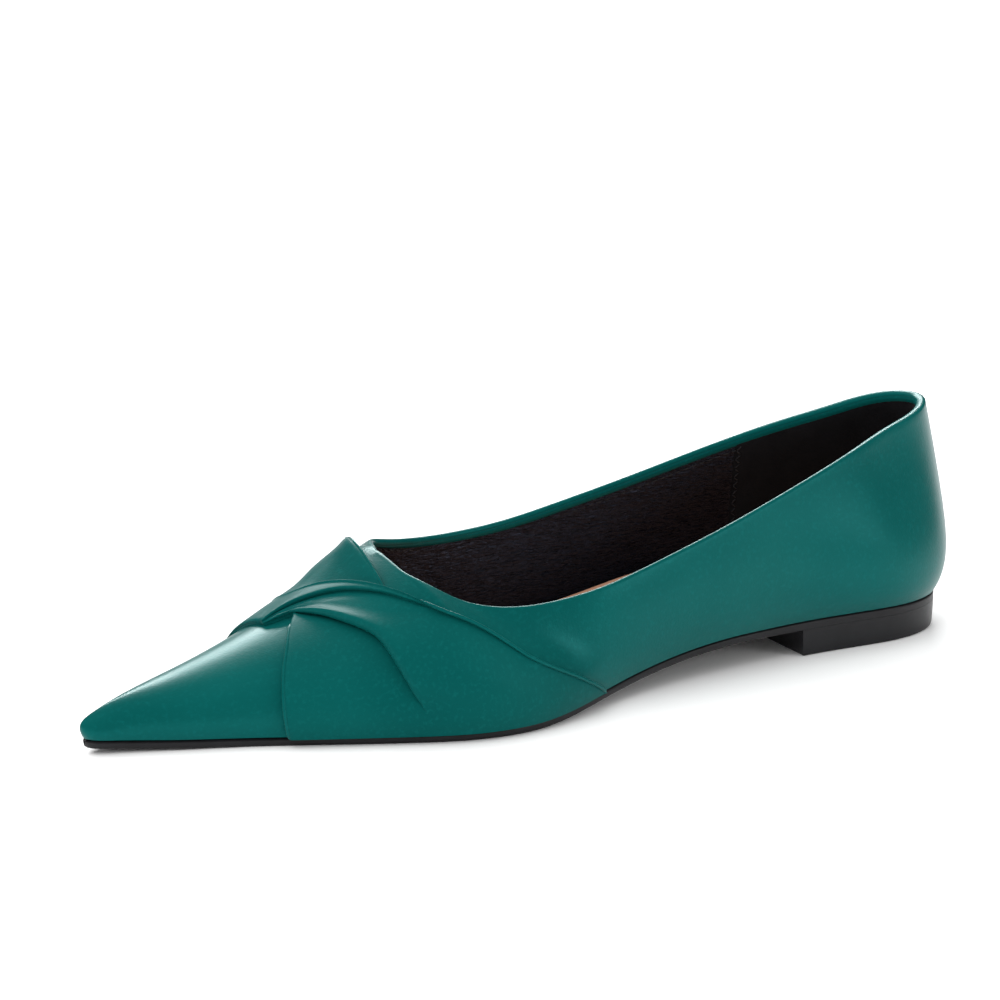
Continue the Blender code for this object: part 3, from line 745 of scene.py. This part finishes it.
def rim_frame():
    """Rim of the collar: outer and inner edge, the way up out of it and the way out of the wall."""
    edges, normals = outer_columns(RIM, np.array((1.0,)))
    edge = edges[:, 0]
    out = normals[:, 0]
    at_throat = np.abs(np.abs(RIM) - THROAT) < 0.0005
    out[at_throat] = unit(out[at_throat] * (1.0, 0.0, 1.0))
    along = np.roll(edge, -1, axis=0) - np.roll(edge, 1, axis=0)
    for i in (RIM_SPLIT - 1, RIM_SPLIT):
        along[i] = edge[RIM_SPLIT + 1] - edge[RIM_SPLIT - 2]
    rise = unit(np.cross(along, out))
    for smoothing in range(3):
        rise = unit(0.5 * beside(rise) + 0.5 * rise)
    inner = edge - out * wall_at(RIM)[:, None]
    return edge, inner, rise, out


def wall_faces(size, at_rim):
    """Faces round a closed wall of columns; those at the rim are left out where the vamp is whole."""
    faces = []
    for i in range(len(LOOP)):
        after = (i + 1) % len(LOOP)
        open_here = min(abs(LOOP[i]), abs(LOOP[after])) >= THROAT - ROUNDING
        for j in range(size):
            follow = (j + 1) % size
            if open_here or j not in at_rim:
                faces.append((i * size + j, i * size + follow, after * size + follow, after * size + j))
    return faces


def build_upper_leather():
    """Outer leather with the collar's folded edge, closed by a hidden face inside the wall."""
    outer = outer_columns(LOOP, OUTER_V)[0]
    hidden = inner_columns(LOOP, INNER_V, 0.45)
    rise = dict(zip(RIM, rim_frame()[2]))
    shared = inner_columns(LOOP, np.array((0.0, 1.0)), 1.0)[:, 1]
    rings = []
    for i, station in enumerate(LOOP):
        rows = list(outer[i])
        if station in rise:
            middle = (outer[i][-1] + shared[i]) / 2.0
            reach = (outer[i][-1] - shared[i]) / 2.0
            up = rise[station] * COLLAR_ROLL
            rows.extend(middle + reach * math.cos(t) + up * math.sin(t) for t in RIM_STEPS)
            rows.append(shared[i])
        else:
            rows.extend([outer[i][-1]] * (len(RIM_STEPS) + 1))
        rows.extend(hidden[i])
        rings.append(rows)
    first = len(OUTER_V) - 1
    faces = wall_faces(len(rings[0]), range(first, first + len(RIM_STEPS) + 2))
    return make_mesh("upper_leather", np.array(rings).reshape(-1, 3), faces, 50.0)


def collar_path(depth, lift):
    """Points on the wall's inner face, depth below the rim and lift proud of it."""
    edge, inner, rise, out = rim_frame()
    return inner - rise * depth - out * lift, out


def build_rim_fold():
    """Turned-in edge of the leather, a thin strip inside the collar."""
    profile = ((-0.0002, -0.0003), (0.0002, 0.00018), (0.0008, 0.00024), (0.0014, 0.00022),
               (0.0017, 0.00012), (0.0018, -0.0002))
    rows = [collar_path(depth, lift)[0] for depth, lift in profile]
    points = np.array(rows).transpose(1, 0, 2).reshape(-1, 3)
    faces = grid_faces(len(RIM), len(profile), wrap_rows=True, wrap_columns=True)
    return make_mesh("collar_fold", points, faces, 60.0)


def build_lining():
    """Lining on the inner face of the wall."""
    v = np.linspace(0.0, 1.0, 35)
    inner = inner_columns(LOOP, v, 1.0)
    back = inner_columns(LOOP, v[::-1], 0.62)
    rings = np.concatenate((inner, back), axis=1)
    for k in (0, -1):
        rings[:, k, 2] = seat_height(rings[:, k, 0])
    faces = wall_faces(rings.shape[1], (len(v) - 1,))
    return make_mesh("lining", rings.reshape(-1, 3), faces, 70.0)


grip_front = smooth_curve(((0.0, 0.804), (0.25, 0.818), (0.50, 0.831), (0.75, 0.840), (1.0, 0.843)))


def build_heel_grip():
    """Soft patch over the lining at the back, with a straight front edge on both sides."""
    turns = np.linspace(-1.0, 1.0, 91)
    shares = np.linspace(0.03, 0.985, 34)
    side = np.where(turns < 0.0, -1.0, 1.0)
    station = 1.0 - np.abs(turns)[:, None] * (1.0 - grip_front(shares)[None, :, 0])
    station = (side[:, None] * station).ravel()
    places = wall_place(station, np.tile(shares, len(turns)))
    face = last(*places)
    normal = last_normal(*places)
    thickness = wall_at(station)[:, None]
    from_front = np.repeat(1.0 - np.abs(turns), len(shares)) / 0.02
    from_ends = np.tile(np.minimum(shares - shares[0], shares[-1] - shares) / 0.015, len(turns))
    lift = (GRIP_THICKNESS * np.sqrt(np.clip(np.minimum(from_front, from_ends), 0.0, 1.0)))[:, None]
    top = face - normal * (thickness + lift)
    low = face - normal * (thickness - 0.0003)
    rows = len(turns)
    size = len(shares)
    points = np.concatenate((top, low))
    count = rows * size
    faces = grid_faces(rows, size)
    faces += [tuple(count + k for k in face[::-1]) for face in faces]
    border = [i * size for i in range(rows)] + [(rows - 1) * size + j for j in range(1, size)]
    border += [i * size + size - 1 for i in range(rows - 2, -1, -1)] + list(range(size - 2, 0, -1))
    for a, b in zip(border, border[1:] + border[:1]):
        faces.append((a, b, count + b, count + a))
    return make_mesh("heel_grip", points, faces, 60.0)


# One stitch. Radius and sink are shares of the thread's radius.
# share, radius, sink
STITCH = (
    (0.00, 0.35, 0.9),
    (0.12, 0.85, 0.2),
    (0.50, 1.00, 0.0),
    (0.88, 0.85, 0.2),
    (1.00, 0.35, 0.9),
)
THREAD_SIDES = 8


def stitch_run(name, path, normals, stitch):
    """Row of short rounded stitches along a path that lies on a surface."""
    length, spacing, radius, zigzag = stitch
    steps = length_along(path)
    points = []
    faces = []

    def read(table, place):
        return read_between(table, steps, place)[0]

    for k in range(int(steps[-1] / spacing)):
        start_at = (k + 0.5 - 0.5 * length / spacing) * spacing
        start = read(path, start_at)
        finish = read(path, start_at + length)
        out = unit(read(normals, start_at))
        swing = np.cross(out, unit(finish - start)) * zigzag * (1.0 if k % 2 else -1.0)
        start = start + swing
        finish = finish - swing
        side = np.cross(out, unit(finish - start))
        base = len(points)
        for share, bulge, sink in STITCH:
            centre = mix(start, finish, share) - out * radius * sink
            for angle in np.arange(THREAD_SIDES) * 2.0 * math.pi / THREAD_SIDES:
                points.append(centre + radius * bulge * (side * math.cos(angle) + out * math.sin(angle)))
        faces.extend(grid_faces(len(STITCH), THREAD_SIDES, wrap_columns=True, offset=base))
        faces.append(tuple(range(base, base + THREAD_SIDES)))
        faces.append(tuple(range(len(points) - 1, len(points) - 1 - THREAD_SIDES, -1)))
    return make_mesh(name, points, faces, 80.0)


# Twist.

over_edges = smooth_curve(OVER_EDGES)
over_fold = smooth_curve(OVER_FOLD)
under_fold = smooth_curve(UNDER_FOLD)


def over_last(station, across, height):
    """Points at a height over the upper's outer face; arrays of one length."""
    side = np.where(across < 0.0, -1.0, 1.0)
    v = 1.0 - np.abs(across)
    return last(side * station, v) + height[:, None] * blended_normal(station, across)


def blended_normal(station, across):
    """Normal of the last, eased over the ridge line and the topline."""
    total = 0.0
    for offset, weight in ((-0.05, 0.25), (0.0, 0.5), (0.05, 0.25)):
        spot = np.clip(across + offset, -1.0, 1.0)
        side = np.where(spot < 0.0, -1.0, 1.0)
        total = total + weight * last_normal(side * station, 1.0 - np.abs(spot))
    return unit(total)


def section_curve(knots, steps):
    """Even points on a centripetal curve through (share, height) knots."""
    knots = np.asarray(knots, float)
    scale = np.array((30.0, 1.0))
    gap = np.linalg.norm(np.diff(knots * scale, axis=0), axis=1) ** 0.5 + 1e-6
    place = np.concatenate(((0.0,), np.cumsum(gap)))
    curve = smooth_curve(np.column_stack((place, knots)))
    fine = curve(np.linspace(0.0, place[-1], 400))
    run = length_along(fine * scale)
    return read_between(fine, run, np.linspace(0.0, run[-1], steps))


def cut_corners(points, passes):
    """Rounded open line: each pass cuts every corner at a quarter of its legs."""
    points = np.asarray(points, float)
    for cut in range(passes):
        near = 0.75 * points[:-1] + 0.25 * points[1:]
        far = 0.25 * points[:-1] + 0.75 * points[1:]
        inner = np.stack((near, far), axis=1).reshape(-1, 2)
        points = np.concatenate((points[:1], inner, points[-1:]))
    return points


def over_section(values, reach):
    """Section of the over fold from its front edge to its rear edge as (share, height) points."""
    wing, lip, tuck, rise, first, second, seam, step, roll = np.maximum(values, 0.0)
    deep = min(rise / 1.5, 1.0)
    hang = min(rise, 1.0)
    lip = lip * reach
    seam = min(seam, 1.0) * reach
    front = min(lip / 2.5, 1.0)
    middle = min(max((seam - lip) / 3.0, 0.0), 1.0)
    rear = min(max((reach - seam) / 2.5, 0.0), 1.0)
    seam = seam - 0.7 * (1.0 - rear)
    under = 0.5 * min(middle, rear)
    knots = (
        (0.0, 0.05),
        (-0.04 * front, 0.22 * wing),
        (-0.28 * front, 0.60 * wing),
        (0.05 * front, 1.04 * wing),
        (0.90 * front, 1.20 * wing),
        (mix(0.90 * front, lip, 0.35), 1.04 * wing),
        (mix(0.90 * front, lip, 0.72), wing * mix(1.0, 0.86, deep)),
        (lip + 0.5 * tuck * front, wing * mix(1.0, 0.58, deep)),
        (lip + tuck * front, wing * mix(1.0, 0.58, deep)),
        (lip + tuck * front, wing * mix(1.0, 0.72, deep)),
        (lip + 0.6 * hang * front, wing * mix(1.0, 0.86, deep) + 0.08 * rise),
        (lip - 0.7 * hang, wing + 0.26 * rise),
        (lip - 0.5 * hang, wing + 0.70 * rise),
        (lip + 0.5 * middle, wing + 1.00 * rise),
        (lip + 1.6 * middle, wing + 1.12 * rise),
        (mix(lip + 1.6 * middle, seam, 0.18), wing + 0.66 * rise),
        (mix(lip, seam, 0.48), first),
        (mix(lip, seam, 0.82), second),
        (seam + under, second - 0.35 * step),
        (seam + under, second - 0.10 * step),
        (seam - 0.08 * rear, second + 0.15 * step),
        (seam + 0.10 * rear, second + 0.70 * step),
        (seam + 0.80 * rear, mix(second + step, roll, 0.3)),
        (mix(seam, reach, 0.60), roll),
        (reach - 1.30, 0.97 * roll),
        (reach - 0.50, 1.08 * roll + 0.15),
        (reach - 0.05, 1.00 * roll),
        (reach, 0.45 * roll),
        (reach - 0.05, 0.05),
    )
    line = cut_corners(knots, 2)
    return np.column_stack((line[:, 0] / reach, line[:, 1]))


def build_over_fold():
    """Front wing, S-shaped lip and rear wing as one closed piece over its rows."""
    rows = stations_between(((0.0, 0.10, 12), (0.10, 0.46, 76), (0.46, 0.80, 90), (0.80, 1.0, 26)))
    edges = over_edges(rows)

    def lay(share, height):
        station = mix(edges[:, 0:1], edges[:, 2:3], share)
        across = mix(edges[:, 1:2], edges[:, 3:4], share)
        height = np.broadcast_to(height, station.shape)
        return over_last(station.ravel(), across.ravel(), height.ravel()).reshape(len(rows), -1, 3)

    flat = lay(np.linspace(0.0, 1.0, 25)[None, :], 0.0)
    reach = np.sum(np.linalg.norm(np.diff(flat, axis=1), axis=2), axis=1) * 1000.0
    smooth = np.array([over_section(values, width) for values, width in zip(over_fold(rows), reach)])
    for smoothing in range(4):
        smooth[1:-1] = 0.25 * smooth[:-2] + 0.5 * smooth[1:-1] + 0.25 * smooth[2:]
    top = lay(smooth[:, :, 0], np.maximum(smooth[:, :, 1], 0.05) * 0.001)
    under = lay(np.linspace(1.0, 0.0, 24)[None, :], 0.00004)
    return ring_piece("twist_over_fold", np.concatenate((top, under), axis=1), 75.0)


def build_under_fold():
    """Fold with the peak at the throat, closed over its rows."""
    rings = []
    for row in under_fold(np.linspace(0.0, 1.0, 120)):
        front, hollow, rear = row[4:7]
        knots = [(0.0, 0.1), (0.0, front), (0.25, mix(front, hollow, 0.45)), (0.50, hollow),
                 (0.75, mix(hollow, rear, 0.45)), (0.93, 0.97 * rear), (0.985, 0.96 * rear),
                 (1.0, 0.80 * rear), (0.995, 0.40 * rear), (0.985, 0.05)]
        section = section_curve(knots, 56)
        share = np.concatenate((section[:, 0], np.linspace(0.985, 0.0, 14)))
        height = np.concatenate((section[:, 1], np.full(14, 0.04)))
        station = mix(row[0], row[2], share)
        across = mix(row[1], row[3], share)
        rings.append(over_last(station, across, np.maximum(height, 0.04) * 0.001))
    return ring_piece("twist_under_fold", rings, 60.0)


def tube_between(name, path, radius):
    """Thin round edge along a path, pointed at both ends."""
    along = unit(np.gradient(path, axis=0))
    side = unit(np.cross(along, np.array((0.0, 0.0, 1.0))))
    over = np.cross(side, along)
    share = np.linspace(0.0, 1.0, len(path))
    thick = radius * np.sqrt(np.clip(np.minimum(share, 1.0 - share) / 0.04, 0.02, 1.0))[:, None]
    rings = [path + thick * (side * math.cos(a) + over * math.sin(a)) for a in np.arange(12) * math.pi / 6.0]
    return ring_piece(name, np.array(rings).transpose(1, 0, 2), 80.0)


def edge_path(table, rows, share, inset, heights):
    """Path along one edge of a fold: inset in millimetres, heights as (row, millimetres) pairs."""
    edges = table(rows)
    reach = np.hypot((edges[:, 2] - edges[:, 0]) * SOLE_LENGTH, (edges[:, 3] - edges[:, 1]) * WALL_GIRTH)
    share = share + inset * 0.001 / reach
    height = smooth_curve(heights)(rows)[:, 0] * 0.001
    return over_last(mix(edges[:, 0], edges[:, 2], share), mix(edges[:, 1], edges[:, 3], share), height)


# Sole, heel and insole.

SOLE_STATIONS = [0.003] + [place for place in HALF if 0.003 < place < 0.9985] + [0.9985]


def sole_ring(station, profile, columns, top_share, lift=0.0):
    """Ring across the sole: down one side by (inset, height) rows, across, up and back."""
    ends = np.array((-station, station))
    out = outline_normal(ends)[:, :2]
    edge = outline(ends)
    ring = []

    def spot(side, inset, height):
        x, y = edge[side] - out[side] * inset
        return (x, y, sole_rise(x) + height)

    lowest = profile[-1]
    highest = profile[0]
    for inset, height in profile:
        ring.append(spot(0, inset, height))
    left = edge[0] - out[0] * lowest[0]
    right = edge[1] - out[1] * lowest[0]
    for share in np.linspace(0.0, 1.0, columns)[1:-1]:
        x, y = mix(left, right, share)
        ring.append((x, y, sole_rise(x) + lowest[1]))
    for inset, height in profile[::-1]:
        above = 1.0 if height > profile[-1][1] + 0.0001 else 0.0
        ring.append(spot(1, inset - 0.2 * lift * above, height + lift * above))
    left = edge[0] - out[0] * highest[0]
    right = edge[1] - out[1] * (highest[0] - 0.2 * lift)
    for share in np.linspace(1.0, 0.0, columns)[1:-1]:
        x, y = mix(left, right, share)
        crown = top_share * math.sin(math.pi * share) ** 0.6
        ring.append((x, y, sole_rise(x) + highest[1] + crown + lift * float(ease((share - 0.55) / 0.45))))
    return ring


def build_loft(name, stations, profile, columns=17, crown=0.0, lift=None):
    """Piece through the sole's rings; lift is a curve of the medial edge's rise."""
    lifts = lift(stations)[:, 0] if lift else np.zeros(len(stations))
    rings = [sole_ring(s, profile(s), columns, crown, rise) for s, rise in zip(stations, lifts)]
    return ring_piece(name, rings, 50.0)


def outsole_profile(station):
    """Rounded lower edge in front; nearly square where the heel block stands under it."""
    soft = mix(1.0, 0.12, ease((station - 0.70) / 0.08))
    return (
        (0.00100, SOLE_THICKNESS),
        (0.00030, SOLE_THICKNESS - 0.00008),
        (0.00002, SOLE_THICKNESS - 0.00035),
        (0.00003, 0.0014),
        (0.00003 + 0.00009 * soft, 0.0008 * soft + 0.0001),
        (0.00030 * soft, 0.0003 * soft),
        (0.00060 * soft, 0.00006 * soft),
        (0.00110 * soft + 0.0001, 0.0),
    )


def insole_profile(station):
    """Sock inside the wall, with a rounded upper edge."""
    inset = float(wall_at(station)) + GAP * 1.5
    low = SOLE_THICKNESS + GAP
    high = low + INSOLE_THICKNESS
    return (
        (inset + 0.0014, high - 0.0001),
        (inset + 0.0006, high - 0.0003),
        (inset + 0.0002, high - 0.0008),
        (inset, high - 0.0014),
        (inset, low),
    )


def heel_track(inset, count=90):
    """Outline of the heel block behind its straight breast, at an inset."""
    breast = SOLE_LENGTH - HEEL_LENGTH + inset
    fine = np.linspace(-1.0, 1.0, 1601)
    track = outline(fine) - outline_normal(fine)[:, :2] * inset
    lateral = track[(track[:, 0] > breast) & (fine < 0.0)]
    medial = track[(track[:, 0] > breast) & (fine > 0.0)]
    run = np.concatenate((medial, lateral))
    run = np.concatenate(([[breast, run[0, 1]]], run, [[breast, run[-1, 1]]]))
    length = length_along(run)
    return read_between(run, length, np.linspace(0.0, length[-1], count))


# inset, height
HEEL_PROFILE = (
    (0.00002, HEEL_HEIGHT - 0.00002),
    (0.00006, 0.0060),
    (0.00016, 0.0042),
    (0.00026, 0.0024),
    (0.00036, 0.0010),
    (0.00055, 0.00035),
    (0.00090, 0.00008),
    (0.00140, 0.0),
)


def build_heel():
    """Heel block with a straight breast and a rounded lower edge."""
    rings = [[(x, y, z) for x, y in heel_track(inset)] for inset, z in HEEL_PROFILE]
    return ring_piece("heel_block_rubber", rings, 35.0)


upper_leather = finish_piece(build_upper_leather(), teal)
finish_piece(build_rim_fold(), teal)
finish_piece(build_lining(), lining_black)
finish_piece(build_heel_grip(), suede)
over_piece = finish_piece(build_over_fold(), teal_band)
finish_piece(build_under_fold(), teal_band)

# Rolled edges of the folds. Share is 0 at a fold's front edge and 1 at its rear edge. Insets and
# heights are millimetres, the radius is metres.
# piece, fold, first row, last row, points, share, inset, radius, (row, height) pairs
EDGE_ROLLS = (
    ("band_rear_edge", over_edges, 0.025, 0.50, 150, 1.0, -0.35, 0.00050,
     ((0.0, 1.20), (0.07, 1.60), (0.22, 1.90), (0.30, 2.20), (0.37, 2.60), (0.43, 3.20), (0.50, 3.80))),
    ("band_front_edge", over_edges, 0.004, 0.47, 130, 0.0, -0.02, 0.00050,
     ((0.0, 1.30), (0.07, 1.55), (0.22, 1.45), (0.37, 1.25), (0.47, 1.15))),
    ("band_peak_edge", under_fold, 0.06, 0.50, 90, 1.0, -0.20, 0.00040,
     ((0.0, 1.00), (0.10, 2.05), (0.20, 3.10), (0.30, 4.15), (0.38, 4.65), (0.46, 4.05), (0.54, 2.80))),
)
for name, fold, first, final, count, share, inset, radius, heights in EDGE_ROLLS:
    path = edge_path(fold, np.linspace(first, final, count), share, inset, heights)
    finish_piece(tube_between(name, path, radius), teal)

outsole = finish_piece(build_loft("outsole_rubber", SOLE_STATIONS, outsole_profile), rubber)
sock_start = TOE_HOLLOW_START + 0.015
sock_stations = [sock_start] + [place for place in SOLE_STATIONS if place > sock_start + 0.001]
sock = build_loft("insole_sock", sock_stations, insole_profile, 31, -0.0005, smooth_curve(ARCH_LIFT))
insole = finish_piece(sock, tan)
heel = finish_piece(build_heel(), heel_rubber)

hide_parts("upper")
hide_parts("twist_band")
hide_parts("outsole")
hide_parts("insole")
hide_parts("heel_block")

line, out = collar_path(COLLAR_STITCH_DEPTH, 0.00005)
line = np.roll(line, -RIM_SPLIT, axis=0)
out = np.roll(out, -RIM_SPLIT, axis=0)
finish_piece(stitch_run("collar_stitches", line, -out, COLLAR_STITCH), thread)

for side, name in ((-1.0, "grip_stitches_lateral"), (1.0, "grip_stitches_medial")):
    shares = np.linspace(0.16, 0.96, 60)
    spots = side * (grip_front(shares)[:, 0] + 0.004)
    place = wall_place(spots, shares)
    out = last_normal(*place)
    line = last(*place) - out * (wall_at(spots)[:, None] + GRIP_THICKNESS)
    grip_thread = dark_thread(name, (0.014, 0.014, 0.016))
    finish_piece(stitch_run(name, line, -out, GRIP_STITCH), grip_thread)


# Stage.

FLOOR_HALF = 4.0


def floor_mesh():
    mesh = bpy.data.meshes.new("floor")
    corners = [(x * FLOOR_HALF, y * FLOOR_HALF, 0.0) for x, y in ((-1, -1), (1, -1), (1, 1), (-1, 1))]
    mesh.from_pydata(corners, [], [(0, 1, 2, 3)])
    item = link_new("floor", mesh)
    material = bpy.data.materials.new("floor")
    material.use_nodes = True
    shader = material.node_tree.nodes["Principled BSDF"]
    shader.inputs["Base Color"].default_value = (0.9, 0.9, 0.9, 1.0)
    shader.inputs["Roughness"].default_value = 0.9
    shader.inputs["Specular IOR Level"].default_value = 0.1
    item.data.materials.append(material)


# Soft lights, all turned to the shoe.
# name, place, size, size across, power, shows in reflections
LIGHTS = (
    ("rim_soft", (0.34, 0.93, 0.60), 0.85, 0.25, 13.0, True),
    ("key_soft", (-0.95, -0.55, 0.95), 0.50, 0.50, 4.0, False),
    ("fill_soft", (0.75, -1.00, 0.40), 0.40, 0.40, 3.0, True),
)
LIGHT_TARGET = Vector((0.0, 0.0, 0.03))
SKY_STRENGTH = 0.86
SUN_POWER = 1.9
SUN_WIDTH = 1.2
SUN_FROM = Vector((-0.25, 0.35, 1.0))

# The camera looks from the toe's lateral side, a little from above.
CAMERA_AZIMUTH = math.radians(-30.0)
CAMERA_ELEVATION = math.radians(16.3)
CAMERA_PLACE = Vector((-0.47603, -1.03452, 0.39823)) + Vector(SHIFT)
CAMERA_LENS = 171.58
CAMERA_SENSOR = 36.0


def area_light(name, place, size, size_across, power, reflected):
    data = bpy.data.lights.new(name, "AREA")
    data.shape = "RECTANGLE"
    data.size = size
    data.size_y = size_across
    data.energy = power
    item = link_new(name, data)
    item.location = place
    item.rotation_euler = (LIGHT_TARGET - Vector(place)).to_track_quat("-Z", "Y").to_euler()
    item.visible_glossy = reflected


def sky():
    """Even pale surroundings and a wide soft sun; neither shows in reflections."""
    world = bpy.data.worlds.new("studio")
    world.use_nodes = True
    background = world.node_tree.nodes["Background"]
    background.inputs["Color"].default_value = (1.0, 1.0, 1.0, 1.0)
    background.inputs["Strength"].default_value = SKY_STRENGTH
    world.cycles_visibility.glossy = False
    bpy.context.scene.world = world
    data = bpy.data.lights.new("sky_soft", "SUN")
    data.energy = SUN_POWER
    data.angle = SUN_WIDTH
    sun = link_new("sky_soft", data)
    sun.visible_glossy = False
    sun.rotation_euler = SUN_FROM.to_track_quat("Z", "Y").to_euler()


def photo_camera():
    data = bpy.data.cameras.new("camera")
    data.sensor_width = CAMERA_SENSOR
    data.lens = CAMERA_LENS
    data.clip_start = 0.01
    data.clip_end = 20.0
    right = Vector((math.cos(CAMERA_AZIMUTH), math.sin(CAMERA_AZIMUTH), 0.0))
    level = Vector((right.y, -right.x, 0.0))
    up = Vector((0.0, 0.0, 1.0))
    back = level * math.cos(CAMERA_ELEVATION) + up * math.sin(CAMERA_ELEVATION)
    turn = Matrix((right, back.cross(right), back)).transposed().to_4x4()
    item = link_new("camera", data)
    item.matrix_world = Matrix.Translation(CAMERA_PLACE) @ turn
    bpy.context.scene.camera = item


floor_mesh()
sky()
for light in LIGHTS:
    area_light(*light)
bpy.context.scene.view_settings.view_transform = "Standard"
photo_camera()
